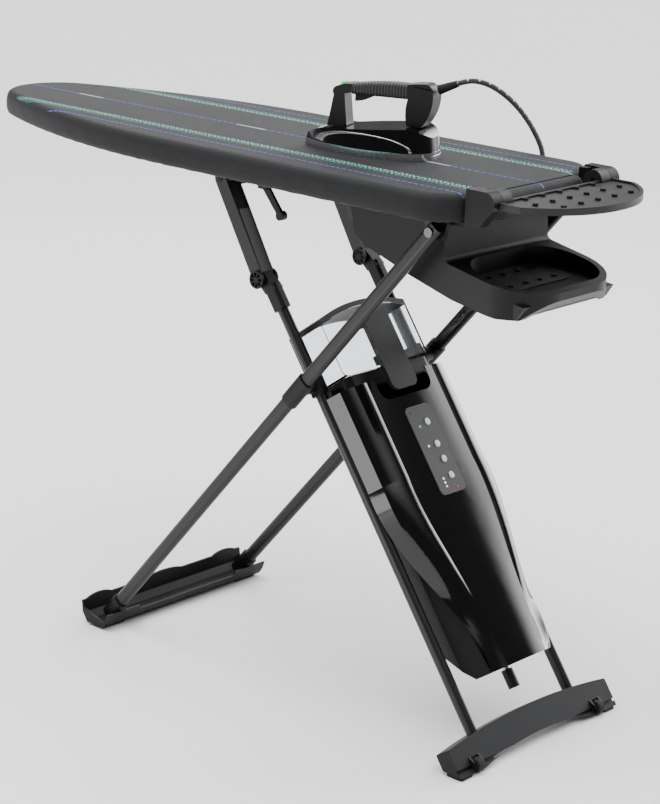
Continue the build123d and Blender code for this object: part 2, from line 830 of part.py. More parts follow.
tank_back, tank_front = -36, 44
with BuildPart() as tank_seat:
    with BuildSketch(leg_a_cut(-34.5)):
        with Locations((0, 3)):
            RectangleRounded(208, 82, 14)
    extrude(amount=22.5)
    with BuildSketch(leg_a_cut(-12)):
        with Locations((0, 4)):
            RectangleRounded(190, 66, 10)
            RectangleRounded(184, 60, 8, mode=Mode.SUBTRACT)
    extrude(amount=2.5)
    # tabs that clip on the leg tubes
    for sign in (1, -1):
        with BuildSketch(leg_a_cut(-33)):
            with Locations((sign * 108, 16)):
                Rectangle(36, 10)
        extrude(amount=12)
finish(tank_seat, "tank_seat")

tank_half, tank_foot = 106, -9.2


def tank_outline(inset, foot, side_top, crown):
    """Front view of the tank: straight sides under an arched top, shrunk evenly by the inset."""
    half = tank_half - inset
    with BuildLine() as line:
        Line((-half, foot), (half, foot))
        Line((half, foot), (half, side_top))
        ThreePointArc((half, side_top), (0, crown), (-half, side_top))
        Line((-half, side_top), (-half, foot))
    return line.line


with BuildPart() as tank_shell:
    with BuildSketch(across(tank_back)):
        add(tank_outline(0, tank_foot, 83, 100.5))
        make_face()
    extrude(amount=tank_front - tank_back)
    corner_edges = tank_shell.edges().filter_by(lambda edge: abs(edge.length - (tank_front - tank_back)) < 0.1)
    fillet(corner_edges.sort_by(Axis.Z)[:2], radius=12)
    with BuildSketch(across(tank_back + 2.5)):
        add(tank_outline(2.5, tank_foot + 2.5, 90, 107.5))
        make_face()
    extrude(amount=tank_front - tank_back - 5, mode=Mode.SUBTRACT)
finish(tank_shell, "tank_shell")

with BuildPart() as tank_rim:
    with BuildSketch(across(tank_back)):
        with BuildLine():
            ThreePointArc((-tank_half, 83.1), (0, 100.6), (tank_half, 83.1))
            Line((tank_half, 83.1), (tank_half, 92.5))
            ThreePointArc((tank_half, 92.5), (0, 110), (-tank_half, 92.5))
            Line((-tank_half, 92.5), (-tank_half, 83.1))
        make_face()
    extrude(amount=tank_front - tank_back)
    # filler opening
    with BuildSketch(leg_a_cut(60)):
        with Locations((55, 4)):
            Circle(15)
    extrude(amount=80, mode=Mode.SUBTRACT)
finish(tank_rim, "tank_rim")

with BuildPart() as tank_handle:
    with BuildSketch(across(57)):
        with Locations((0, 13)):
            RectangleRounded(62, 142, 14)
    extrude(amount=8)
    with BuildSketch(across(tank_front + 0.1)):
        with Locations((0, 71)):
            RectangleRounded(52, 22, 4)
    extrude(amount=57 - tank_front)
finish(tank_handle, "tank_handle")

with BuildPart() as tank_filter:
    with BuildSketch(leg_a_cut(tank_foot + 2.6)):
        with Locations((-42, 0)):
            Circle(13)
    extrude(amount=26)
    with BuildSketch(leg_a_cut(tank_foot + 28)):
        with Locations((-42, 0)):
            Circle(5)
    extrude(amount=22)
finish(tank_filter, "tank_filter")

# ---------------------------------------------------------------- iron rest
knuckle_r = 18
with BuildPart() as rest_brackets:
    for sign in (1, -1):
        # outer knuckle and its arm
        with BuildSketch(Plane.XZ.offset(-sign * 137)):
            with Locations((hinge_x, hinge_z)):
                Circle(knuckle_r)
            with BuildLine():
                Polyline(
                    (502, 856),
                    (hinge_x - 6, 864),
                    (hinge_x + 12, 888),
                    (hinge_x, hinge_z + 17.9),
                    (502, hinge_z + 17.9),
                    close=True,
                )
            make_face()
        extrude(amount=-sign * 21)
        # block beside the tongue of the board
        with BuildSketch(Plane.XZ.offset(-sign * 123)):
            with BuildLine():
                Polyline((502, 866), (517, 866), (517, 916), (502, 916), close=True)
            make_face()
        extrude(amount=-sign * 15)
        # arm under the board
        with BuildSketch(Plane.XZ.offset(-sign * 137)):
            with BuildLine():
                Polyline(
                    (440, 856), (510, 856), (510, 863.7), (480, 863.7), (480, tray_ceiling), (440, tray_ceiling),
                    close=True,
                )
            make_face()
        extrude(amount=-sign * 10)
        with BuildSketch(Plane.XZ.offset(-sign * 113)):
            with Locations((hinge_x, hinge_z)):
                Circle(pivot_r)
        extrude(amount=-sign * 25)
finish(rest_brackets, "rest_brackets")

rest_half, rest_back_x = 145, 546
stud_rows = ((550.5, 42.5, 5), (585, 42.5, 6), (621, 42.5, 5))
with BuildPart() as rest_plate:
    with BuildSketch(Plane.XY.offset(892)) as outline:
        with BuildLine():
            Line((rest_back_x, -rest_half), (rest_back_x, rest_half))
            Line((rest_back_x, rest_half), (592, rest_half))
            ThreePointArc((592, rest_half), (645, 92), (plate_front_x, 0))
            ThreePointArc((plate_front_x, 0), (645, -92), (592, -rest_half))
            Line((592, -rest_half), (rest_back_x, -rest_half))
        make_face()
    extrude(amount=8)
    # raised edge
    with BuildSketch(Plane.XY.offset(892)):
        add(outline.sketch)
        offset(amount=-6, kind=Kind.INTERSECTION, mode=Mode.SUBTRACT)
    extrude(amount=11)
    for sign in (1, -1):
        # pockets for the hinge barrels
        with BuildSketch(Plane.XZ.offset(-sign * 136.3)):
            with Locations((hinge_x, hinge_z)):
                Circle(knuckle_r + 0.6)
        extrude(amount=-sign * 22.5, mode=Mode.SUBTRACT)
        with BuildSketch(Plane.XZ.offset(-sign * 112)):
            with Locations((hinge_x, hinge_z)):
                Circle(knuckle_r)
        extrude(amount=-sign * 24)
        with BuildSketch(Plane.XZ.offset(-sign * 112)):
            with Locations((hinge_x, hinge_z)):
                Circle(pivot_r + running_gap)
        extrude(amount=-sign * 24, mode=Mode.SUBTRACT)
finish(rest_plate, "rest_plate")

with BuildPart() as rest_studs:
    with BuildSketch(Plane.XY.offset(900.1)):
        for row_x, pitch, count in stud_rows:
            with Locations((row_x + 6, 0)):
                with GridLocations(1, pitch, 1, count):
                    Circle(4.5)
    extrude(amount=3.5)
finish(rest_studs, "rest_studs")

# ---------------------------------------------------------------- height lever
lever_x, lever_z, lever_y = 88, 858, -150
with BuildPart() as lever_bracket:
    with BuildSketch(Plane.XZ.offset(-lever_y - 6.5)):
        with BuildLine():
            Polyline(
                (lever_x - 9, lever_z - 8),
                (lever_x + 9, lever_z - 8),
                (lever_x + 16, tray_ceiling),
                (lever_x - 16, tray_ceiling),
                close=True,
            )
        make_face()
    extrude(amount=13)
    with BuildSketch(Plane.XZ.offset(-lever_y - 3.5)):
        with Locations((lever_x, lever_z)):
            Circle(10)
            with Locations((0, -6)):
                Rectangle(44, 22)
    extrude(amount=7, mode=Mode.SUBTRACT)
    with BuildSketch(Plane.XZ.offset(-lever_y - 6.5)):
        with Locations((lever_x, lever_z)):
            Circle(3)
    extrude(amount=13)
finish(lever_bracket, "lever_bracket")

with BuildPart() as height_lever:
    with BuildSketch(Plane.XZ.offset(-lever_y)):
        with Locations((lever_x, lever_z)):
            Circle(7)
        with BuildLine():
            Polyline((94, 859), (130, 815), (122, 809), (84, 852), close=True)
        make_face()
        with Locations((126.5, 812)):
            Circle(6.5)
        with Locations((lever_x, lever_z)):
            Circle(3 + running_gap, mode=Mode.SUBTRACT)
    extrude(amount=3, both=True)
    with BuildSketch(Plane.XZ.offset(-lever_y)):
        with Locations((126.5, 812)):
            Circle(7.5)
    extrude(amount=6, both=True)
finish(height_lever, "height_lever")

# ---------------------------------------------------------------- iron
turn = Location((iron_nose.X, iron_nose.Y, iron_nose.Z), (0, 0, iron_yaw))
iron_base = Plane(turn)
iron_side = Plane(origin=iron_nose, x_dir=iron_base.x_dir, z_dir=-iron_base.y_dir)


def sole_outline(inset):
    """Plan of the soleplate, pointed at the nose; the long sides are arcs."""
    with BuildSketch() as sketch:
        with BuildLine():
            for sign in (1, -1):
                ThreePointArc((0, 0), (72, sign * 42), (172, sign * 55))
                ThreePointArc((172, sign * 55), (213, sign * 44), (iron_length, 0))
        make_face()
        if inset:
            offset(amount=-inset)
    return sketch.sketch


with BuildPart() as iron_soleplate:
    with BuildSketch(iron_base):
        add(sole_outline(0))
    extrude(amount=6)
finish(iron_soleplate, "iron_soleplate")

with BuildPart() as iron_body:
    with BuildSketch(iron_base.offset(12.1)):
        add(sole_outline(1.5))
    extrude(amount=60, taper=8)
    # deck that rises towards the heel
    with BuildSketch(iron_side):
        with BuildLine():
            ThreePointArc((-4, 15), (24, 30), (56, 37))
            Line((56, 37), (188, 49))
            ThreePointArc((188, 49), (212, 44), (234, 24))
            Line((234, 24), (234, 90))
            Line((234, 90), (-4, 90))
            Line((-4, 90), (-4, 15))
        make_face()
    extrude(amount=80, both=True, mode=Mode.SUBTRACT)
finish(iron_body, "iron_body")

with BuildPart() as iron_trim:
    with BuildSketch(iron_base.offset(6.05)):
        add(sole_outline(0.6))
    extrude(amount=6)
finish(iron_trim, "iron_trim")

grip_start, grip_end = 84, 179
with BuildPart() as iron_handle:
    # front pillar
    with BuildSketch(iron_side):
        with BuildLine():
            Polyline((44, 37.4), (78, 40.4), (72, 92), (54, 92), close=True)
        make_face()
    extrude(amount=15, both=True)
    # rear pillar
    with BuildSketch(iron_side):
        with BuildLine():
            Line((182, 50), (206, 49.2))
            ThreePointArc((206, 49.2), (222, 78), (224, 108))
            Line((224, 108), (190, 112))
            ThreePointArc((190, 112), (180, 84), (182, 50))
        make_face()
    extrude(amount=19, both=True)
    # ends of the top beam
    with BuildSketch(iron_side):
        with BuildLine():
            Line((54, 88), (grip_start, 94))
            Line((grip_start, 94), (grip_start, 108))
            ThreePointArc((grip_start, 108), (72, 107), (60, 103))
            ThreePointArc((60, 103), (52, 97), (54, 88))
        make_face()
    extrude(amount=15, both=True)
    with BuildSketch(iron_side):
        with BuildLine():
            Line((grip_end, 93), (222, 96))
            ThreePointArc((222, 96), (222, 110), (206, 118))
            ThreePointArc((206, 118), (192, 117), (grip_end, 115))
            Line((grip_end, 115), (grip_end, 93))
        make_face()
    extrude(amount=15, both=True)
    # core that carries the grip
    with BuildSketch(iron_side):
        with BuildLine():
            Polyline((grip_start - 4, 97), (grip_end + 4, 98), (grip_end + 4, 109), (grip_start - 4, 104), close=True)
        make_face()
    extrude(amount=8, both=True)
finish(iron_handle, "iron_handle")

with BuildPart() as iron_grip:
    with BuildSketch(iron_side):
        with BuildLine():
            Line((grip_start + 0.1, 91), (grip_end - 0.1, 91))
            Line((grip_end - 0.1, 91), (grip_end - 0.1, 115))
            ThreePointArc((grip_end - 0.1, 115), (132, 114), (grip_start + 0.1, 108))
            Line((grip_start + 0.1, 108), (grip_start + 0.1, 91))
        make_face()
    extrude(amount=15, both=True)
    fillet(iron_grip.edges().filter_by(lambda edge: edge.length > 90), radius=6)
    with BuildSketch(iron_side):
        with BuildLine():
            Polyline((grip_start - 4, 97), (grip_end + 4, 98), (grip_end + 4, 109), (grip_start - 4, 104), close=True)
        make_face()
    extrude(amount=8.05, both=True, mode=Mode.SUBTRACT)
    # pocket for the trigger's travel
    with BuildSketch(iron_side):
        with Locations((103, 93)):
            Rectangle(32, 7)
    extrude(amount=8.4, both=True, mode=Mode.SUBTRACT)
finish(iron_grip, "iron_grip")

with BuildPart() as iron_trigger:
    with BuildSketch(iron_side):
        with BuildLine():
            Line((88, 90.3), (118, 90.3))
            ThreePointArc((118, 90.3), (104, 83), (88, 80))
            Line((88, 80), (88, 90.3))
        make_face()
    extrude(amount=8, both=True)
finish(iron_trigger, "iron_trigger")

with BuildPart() as iron_lamp:
    with BuildSketch(iron_side.offset(-7)):
        with BuildLine():
            Line((62, 104.2), (62, 107.6))
            ThreePointArc((62, 107.6), (66, 109.4), (70, 109.5))
            Line((70, 109.5), (70, 107.2))
            Line((70, 107.2), (62, 104.2))
        make_face()
    extrude(amount=14)
finish(iron_lamp, "iron_lamp")

relief_start = iron_side.from_local_coords(Vector(227.5, 109.5, 0))
relief_end = iron_side.from_local_coords(Vector(258, 122, 0))
relief_axis = (relief_end - relief_start).normalized()
with BuildPart() as iron_strain_relief:
    with BuildSketch(Plane(origin=relief_start, z_dir=relief_axis)):
        Circle(8)
    with BuildSketch(Plane(origin=relief_end, z_dir=relief_axis)):
        Circle(5.4)
    loft()
finish(iron_strain_relief, "iron_strain_relief")

# ---------------------------------------------------------------- steam cord
coil_center = Vector(318, 189, 797)
coil_mean_r = 47.5
outlet_mouth = coil_center + Vector(-56, 0, 39)
hook_back_y = coil_center.Y - 11.2
hook_bar_z = coil_center.Z + 32
with BuildPart() as cord_outlet:
    with BuildSketch(Plane.XY.offset(842)):
        with Locations((256, 173)):
            RectangleRounded(40, 46, 5)
    extrude(amount=21.5)
    with BuildSketch(Plane.XY.offset(860)):
        with Locations((256, 166)):
            Rectangle(28, 28)
    extrude(amount=tray_ceiling - 860)
    with BuildSketch(Plane.XY.offset(outlet_mouth.Z)):
        with Locations((outlet_mouth.X, outlet_mouth.Y)):
            Circle(7)
    extrude(amount=8)
    # hook that the coil hangs on
    with BuildSketch(Plane.YZ.offset(coil_center.X - 6)):
        with Locations((hook_back_y, (tray_ceiling + hook_bar_z - 1.5) / 2)):
            Rectangle(3, tray_ceiling - hook_bar_z + 1.5)
        with Locations((coil_center.Y, hook_bar_z)):
            Rectangle(25, 3)
        with Locations((coil_center.Y + 11, hook_bar_z - 2)):
            Rectangle(3, 7)
    extrude(amount=12)
finish(cord_outlet, "cord_outlet")

with BuildPart() as cord_coil:
    with BuildSketch(Plane(origin=coil_center, x_dir=(1, 0, 0), z_dir=(0, 0, 1))):
        with Locations((coil_mean_r, 0)):
            RectangleRounded(26, 18, 4)
    revolve(axis=Axis(coil_center, (0, 1, 0)))
    # lead from the coil's last turn up into the outlet
    with BuildSketch(Plane.XY.offset(coil_center.Z)):
        with Locations((outlet_mouth.X, outlet_mouth.Y)):
            Circle(cord_d / 2)
    extrude(amount=outlet_mouth.Z - coil_center.Z)
finish(cord_coil, "cord_coil")

with BuildPart() as cord_tie:
    with BuildSketch(Plane(origin=coil_center, x_dir=(0, 1, 0), z_dir=(1, 0, 0))):
        with Locations((0, -coil_mean_r)):
            RectangleRounded(22, 31, 5)
            RectangleRounded(18.4, 27.4, 4, mode=Mode.SUBTRACT)
    extrude(amount=5, both=True)
finish(cord_tie, "cord_tie")

cord_route = [
    relief_end,
    relief_end + relief_axis * 20,
    Vector(357, 65, 1033),
    Vector(371, 88, 1018),
    Vector(378, 118, 995),
    Vector(379, 150, 967),
    Vector(375, 181, 938),
    Vector(369, 206, 912),
    Vector(366, 217, 884),
    Vector(370, 212, 857),
    Vector(374, 201, 832),
    Vector(374, 193, 808),
]


def arc_radii(points):
    """Radius of each tangent arc: as large as its two straight runs allow."""
    radii = []
    for before, corner, after in zip(points, points[1:], points[2:]):
        incoming, outgoing = corner - before, after - corner
        turn_angle = radians(incoming.get_angle(outgoing))
        radii.append(0.45 * min(incoming.length, outgoing.length) / tan(turn_angle / 2))
    return radii


cord_radii = arc_radii(cord_route)
with BuildPart() as iron_cord:
    with BuildLine() as cord_line:
        FilletPolyline(*cord_route, radius=cord_radii)
    with BuildSketch(Plane(origin=cord_route[0], z_dir=cord_route[1] - cord_route[0])):
        Circle(cord_d / 2)
    sweep()
finish(iron_cord, "iron_cord")
print("cord arc radii", [round(radius, 1) for radius in cord_radii])
cord_length = sum(edge.length for edge in cord_line.edges())
print("cord length", round(cord_length, 1), "volume", round(iron_cord.part.volume, 1))
print("section times length", round(cord_length * pi * cord_d**2 / 4, 1))
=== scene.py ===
"""Looks of the folding ironing system: its materials, padded cover, steam cord, light and camera."""

import json
from math import cos, pi, radians, sin

import bmesh
import bpy
from mathutils import Matrix, Vector
from mathutils.bvhtree import BVHTree


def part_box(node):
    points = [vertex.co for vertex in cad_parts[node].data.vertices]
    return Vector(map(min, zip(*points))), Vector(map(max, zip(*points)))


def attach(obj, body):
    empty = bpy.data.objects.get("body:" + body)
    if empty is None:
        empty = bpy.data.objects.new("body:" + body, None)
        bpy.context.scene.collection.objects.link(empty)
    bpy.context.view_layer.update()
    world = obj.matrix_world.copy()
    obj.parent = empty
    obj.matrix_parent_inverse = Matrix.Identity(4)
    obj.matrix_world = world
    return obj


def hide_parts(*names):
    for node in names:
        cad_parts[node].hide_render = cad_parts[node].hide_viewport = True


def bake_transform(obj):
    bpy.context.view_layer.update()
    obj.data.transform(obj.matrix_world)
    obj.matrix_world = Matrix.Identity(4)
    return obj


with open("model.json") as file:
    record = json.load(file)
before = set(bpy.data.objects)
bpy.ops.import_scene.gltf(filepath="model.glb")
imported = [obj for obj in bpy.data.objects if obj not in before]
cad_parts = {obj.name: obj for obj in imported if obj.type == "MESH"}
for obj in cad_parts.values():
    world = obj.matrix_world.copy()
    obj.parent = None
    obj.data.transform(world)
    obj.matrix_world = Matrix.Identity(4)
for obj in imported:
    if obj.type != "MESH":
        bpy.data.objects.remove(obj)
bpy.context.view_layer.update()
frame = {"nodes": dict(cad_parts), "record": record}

nodes_of = frame["nodes"]

# ---------------------------------------------------------------- driving dimensions, in metres
(nose_x, _, cover_bottom), (end_x, board_half_width, board_top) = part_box("board_cover")
lamps_low, lamps_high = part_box("panel_lamps")
end_shoulder_x = end_x - 0.032
end_tongue_half = 0.108
nose_r, corner_r, notch_r = 0.100, 0.066, 0.015
taper_turn = radians(24)
iron_nose = Vector((0.076, -0.044, board_top + 0.0003))
iron_yaw = radians(18.6)
cord_d = 0.0085
coil_center = Vector((0.318, 0.189, 0.797))
coil_r = 0.056
coil_turns = 5.5


# ---------------------------------------------------------------- materials
class Shader:
    """A procedural material and short calls for the nodes that it is made of."""

    def __init__(self, name):
        self.material = bpy.data.materials.new(name)
        self.material.use_nodes = True
        self.tree = self.material.node_tree
        self.surface = self.tree.nodes["Principled BSDF"]
        self.place = self.add("ShaderNodeTexCoord").outputs["Object"]

    def add(self, kind, **settings):
        node = self.tree.nodes.new(kind)
        for key, value in settings.items():
            setattr(node, key, value)
        return node

    def link(self, value, socket):
        """Joins an output to a socket, or sets the socket to a plain value."""
        if isinstance(value, bpy.types.NodeSocket):
            self.tree.links.new(value, socket)
        else:
            socket.default_value = value

    def math(self, operation, a, b=0.0):
        node = self.add("ShaderNodeMath", operation=operation)
        self.link(a, node.inputs[0])
        self.link(b, node.inputs[1])
        return node.outputs[0]

    def noise(self, scale, detail=2.0, stretch=(1, 1, 1)):
        mapping = self.add("ShaderNodeMapping")
        self.link(self.place, mapping.inputs["Vector"])
        mapping.inputs["Scale"].default_value = stretch
        node = self.add("ShaderNodeTexNoise")
        self.link(mapping.outputs[0], node.inputs["Vector"])
        node.inputs["Scale"].default_value = scale
        node.inputs["Detail"].default_value = detail
        return node.outputs["Fac"]

    def blend(self, fac, a, b):
        node = self.add("ShaderNodeMix", data_type="RGBA")
        self.link(fac, node.inputs["Factor"])
        self.link(a, node.inputs["A"])
        self.link(b, node.inputs["B"])
        return node.outputs["Result"]

    def remap(self, value, low, high, start=0.0, end=1.0):
        node = self.add("ShaderNodeMapRange")
        self.link(value, node.inputs["Value"])
        node.inputs["From Min"].default_value = start
        node.inputs["From Max"].default_value = end
        node.inputs["To Min"].default_value = low
        node.inputs["To Max"].default_value = high
        return node.outputs["Result"]

    def bump(self, height, strength, distance=0.001):
        node = self.add("ShaderNodeBump")
        self.link(height, node.inputs["Height"])
        node.inputs["Strength"].default_value = strength
        node.inputs["Distance"].default_value = distance
        self.link(node.outputs[0], self.surface.inputs["Normal"])

    def edges(self, width):
        """1 on sharp convex edges, 0 on flats."""
        bevel = self.add("ShaderNodeBevel", samples=4)
        bevel.inputs["Radius"].default_value = width
        geometry = self.add("ShaderNodeNewGeometry")
        dot = self.add("ShaderNodeVectorMath", operation="DOT_PRODUCT")
        self.link(bevel.outputs[0], dot.inputs[0])
        self.link(geometry.outputs["Normal"], dot.inputs[1])
        return self.remap(dot.outputs["Value"], 1.0, 0.0, 0.85, 1.0)


def grey(level, tint=(1.0, 1.0, 1.0)):
    return (level * tint[0], level * tint[1], level * tint[2], 1.0)


def moulded(name, level, rough, grain=1600.0, strength=0.25, tint=(1, 1, 1), coat=0.0):
    """Moulded plastic with a fine grain, softly uneven shine and a painted highlight along its sharp convex
    edges.
    """
    shader = Shader(name)
    cloud = shader.noise(9.0, 4.0)
    base = shader.blend(cloud, grey(level * 0.85, tint), grey(level * 1.15, tint))
    # paler colour on the sharp convex edges is a painted highlight
    edge_highlight_share = shader.math("MULTIPLY", shader.edges(0.0012), 0.35)
    edge_highlighted_color = shader.blend(edge_highlight_share, base, grey(level * 2.0 + 0.008, tint))
    shader.link(edge_highlighted_color, shader.surface.inputs["Base Color"])
    shader.link(shader.remap(cloud, rough - 0.05, rough + 0.06), shader.surface.inputs["Roughness"])
    shader.surface.inputs["Specular IOR Level"].default_value = 0.22
    shader.surface.inputs["Coat Weight"].default_value = coat
    shader.surface.inputs["Coat Roughness"].default_value = 0.08
    shader.bump(shader.noise(grain, 3.0), strength, 0.0003)
    return shader.material


def metal(name, level, rough, stretch=(1, 1, 1), grain=500.0):
    """Bare metal with drawn grain."""
    shader = Shader(name)
    grain_noise = shader.noise(grain, 4.0, stretch)
    base = shader.blend(grain_noise, grey(level * 0.85), grey(level))
    shader.link(base, shader.surface.inputs["Base Color"])
    shader.surface.inputs["Metallic"].default_value = 1.0
    shader.link(shader.remap(grain_noise, rough - 0.04, rough + 0.06), shader.surface.inputs["Roughness"])
    shader.bump(grain_noise, 0.08, 0.0002)
    return shader.material


def paint(name, level, rough):
    """Satin powder coat with a faint orange peel."""
    shader = Shader(name)
    cloud = shader.noise(6.0, 3.0)
    base = shader.blend(cloud, grey(level * 0.85), grey(level * 1.2))
    shader.link(base, shader.surface.inputs["Base Color"])
    shader.link(shader.remap(cloud, rough - 0.04, rough + 0.05), shader.surface.inputs["Roughness"])
    shader.surface.inputs["Specular IOR Level"].default_value = 0.3
    shader.surface.inputs["Coat Weight"].default_value = 0.1
    shader.surface.inputs["Coat Roughness"].default_value = 0.25
    shader.bump(shader.noise(420.0, 2.0), 0.12, 0.0004)
    return shader.material


def gloss(name, level):
    """Polished plastic: a clear hard shine with a few soft swirls in it."""
    shader = Shader(name)
    swirl = shader.noise(30.0, 6.0)
    base = shader.blend(swirl, grey(level), grey(level * 1.6))
    shader.link(base, shader.surface.inputs["Base Color"])
    shader.link(shader.remap(swirl, 0.06, 0.13), shader.surface.inputs["Roughness"])
    shader.surface.inputs["Specular IOR Level"].default_value = 0.35
    shader.surface.inputs["Coat Weight"].default_value = 0.25
    shader.surface.inputs["Coat Roughness"].default_value = 0.03
    shader.bump(shader.noise(60.0, 1.0), 0.03, 0.0003)
    return shader.material


def clear_plastic():
    """Water-clear tank plastic with faint flow marks."""
    shader = Shader("tank_clear")
    flow = shader.noise(14.0, 3.0)
    base = shader.blend(flow, (0.93, 0.95, 0.96, 1), (0.98, 0.99, 1, 1))
    shader.link(base, shader.surface.inputs["Base Color"])
    shader.surface.inputs["Transmission Weight"].default_value = 1.0
    shader.surface.inputs["IOR"].default_value = 1.3
    shader.link(shader.remap(flow, 0.01, 0.05), shader.surface.inputs["Roughness"])
    shader.bump(flow, 0.05, 0.0008)
    return shader.material


def lamp_lens():
    """Small lit lenses: green on the iron and at the top of the panel, red at its foot, white between."""
    shader = Shader("lamp_lens")
    split = shader.add("ShaderNodeSeparateXYZ")
    shader.link(shader.place, split.inputs[0])
    height = split.outputs[2]
    lamp_d = 0.005
    is_top = shader.math("GREATER_THAN", height, lamps_high[2] - lamp_d)
    is_foot = shader.math("LESS_THAN", height, lamps_low[2] + lamp_d)
    color = shader.blend(is_top, (0.8, 0.85, 0.85, 1), (0.05, 0.75, 0.12, 1))
    color = shader.blend(is_foot, color, (0.8, 0.02, 0.01, 1))
    dapple = shader.noise(900.0)
    shader.link(color, shader.surface.inputs["Base Color"])
    shader.link(shader.remap(dapple, 0.1, 0.2), shader.surface.inputs["Roughness"])
    shader.link(color, shader.surface.inputs["Emission Color"])
    shader.surface.inputs["Emission Strength"].default_value = 0.7
    return shader.material


def ribbed_rubber():
    """Black grip rubber with fine ribs round the handle."""
    shader = Shader("grip_rubber")
    split = shader.add("ShaderNodeSeparateXYZ")
    shader.link(shader.place, split.inputs[0])
    along_x = shader.math("MULTIPLY", split.outputs[0], cos(iron_yaw))
    along_y = shader.math("MULTIPLY", split.outputs[1], sin(iron_yaw))
    along = shader.math("ADD", along_x, along_y)
    rib_pitch = 0.0052
    rib = shader.math("SINE", shader.math("MULTIPLY", along, 2 * pi / rib_pitch))
    # the colour is lighter on the rib crests and darker in the grooves: a painted highlight on the crests and
    # painted shade in the grooves
    shader.link(
        shader.blend(shader.remap(rib, 0.0, 1.0, -1.0, 1.0), grey(0.006), grey(0.035)),
        shader.surface.inputs["Base Color"],
    )
    shader.link(shader.remap(rib, 0.7, 0.45, -1.0, 1.0), shader.surface.inputs["Roughness"])
    shader.bump(rib, 0.8, 0.0006)
    return shader.material


def braided_cord():
    """Black textile braid with pale flecks."""
    shader = Shader("cord_braid")
    uv = shader.add("ShaderNodeUVMap", uv_map="braid").outputs[0]
    split = shader.add("ShaderNodeSeparateXYZ")
    shader.link(uv, split.inputs[0])
    around, along = split.outputs[0], split.outputs[1]
    strands = 8
    weave = fleck = 1.0
    for way in ("ADD", "SUBTRACT"):
        strand_place = shader.math(way, around, along)
        strand = shader.math("SINE", shader.math("MULTIPLY", strand_place, 2 * pi * strands))
        weave = shader.math("MULTIPLY", weave, strand)
        fleck_place = shader.math(way, around, shader.math("MULTIPLY", along, 0.5))
        wave = shader.math("SINE", shader.math("MULTIPLY", fleck_place, 2 * pi))
        fleck = shader.math("MULTIPLY", fleck, shader.math("GREATER_THAN", wave, 0.72))
    dark = shader.blend(shader.remap(weave, 0, 1, -1, 1), grey(0.008), grey(0.035))
    shader.link(shader.blend(fleck, dark, grey(0.6)), shader.surface.inputs["Base Color"])
    shader.surface.inputs["Sheen Weight"].default_value = 0.3
    shader.link(shader.remap(weave, 0.85, 0.6, -1, 1), shader.surface.inputs["Roughness"])
    shader.bump(weave, 0.5, 0.0004)
    return shader.material


def cover_cloth():
    """Charcoal twill with printed and stitched lines that run along the board."""
    shader = Shader("cover_fabric")
    split = shader.add("ShaderNodeSeparateXYZ")
    shader.link(shader.place, split.inputs[0])
    x, y = split.outputs[0], split.outputs[1]
    across = shader.math("ABSOLUTE", y)
    on_top = shader.math("GREATER_THAN", split.outputs[2], board_top - 0.006)
    thread_pitch = 0.0011
    warp = shader.math("SINE", shader.math("MULTIPLY", shader.math("ADD", x, y), 2 * pi / thread_pitch))
    weft_place = shader.math("SUBTRACT", x, y)
    weft = shader.math("SINE", shader.math("MULTIPLY", weft_place, 2 * pi / thread_pitch))
    twill = shader.math("MULTIPLY", warp, weft)
    cloud = shader.noise(5.0, 5.0)
    base = shader.blend(cloud, grey(0.006, (0.95, 1, 1.05)), grey(0.011, (0.95, 1, 1.05)))
    base = shader.blend(shader.remap(twill, 0, 0.5, -1, 1), base, grey(0.02))

    def dashes(offset, place, width, pitch, fill):
        """Mask of one dashed line at that distance from the middle, on the top face only."""
        away = shader.math("ABSOLUTE", shader.math("SUBTRACT", place, offset))
        on_line = shader.math("MULTIPLY", shader.math("LESS_THAN", away, width / 2), on_top)
        step = shader.math("FRACT", shader.math("ADD", shader.math("DIVIDE", x, pitch), 100.0))
        return shader.math("MULTIPLY", on_line, shader.math("LESS_THAN", step, fill))

    teal = (0.02, 0.34, 0.29, 1)
    blue = (0.07, 0.10, 0.55, 1)
    white = grey(0.75)
    # place of each line, what the place is measured on, width, pitch of its dashes, filled share, colour
    lines = (
        (0.1035, across, 0.0030, 0.011, 0.62, teal),
        (0.1090, across, 0.0022, 0.0075, 0.5, white),
        (0.1150, across, 0.0030, 0.011, 0.62, teal),
        (0.1210, across, 0.0022, 0.009, 0.6, teal),
        (0.1510, across, 0.0022, 0.012, 0.7, blue),
        (0.0, y, 0.0022, 0.014, 0.7, blue),
    )
    for offset, place, width, pitch, fill, color in lines:
        base = shader.blend(dashes(offset, place, width, pitch, fill), base, color)
    # plain pale marks on the middle line
    mark_pitch, mark_share = 0.40, 0.16
    mark_place = shader.math("FRACT", shader.math("ADD", shader.math("DIVIDE", x, mark_pitch), 100.30))
    in_mark = shader.math("LESS_THAN", mark_place, mark_share)
    mark = shader.math("MULTIPLY", dashes(0.0, y, 0.006, 0.006, 0.55), in_mark)
    base = shader.blend(mark, base, grey(0.45))
    shader.link(base, shader.surface.inputs["Base Color"])
    shader.link(shader.remap(cloud, 0.62, 0.8), shader.surface.inputs["Roughness"])
    shader.surface.inputs["Sheen Weight"].default_value = 0.06
    shader.surface.inputs["Sheen Roughness"].default_value = 0.4
    shader.surface.inputs["Specular IOR Level"].default_value = 0.25
    height = shader.math("ADD", shader.math("MULTIPLY", twill, 0.3), shader.math("MULTIPLY", cloud, 1.2))
    shader.bump(height, 0.25, 0.0009)
    return shader.material


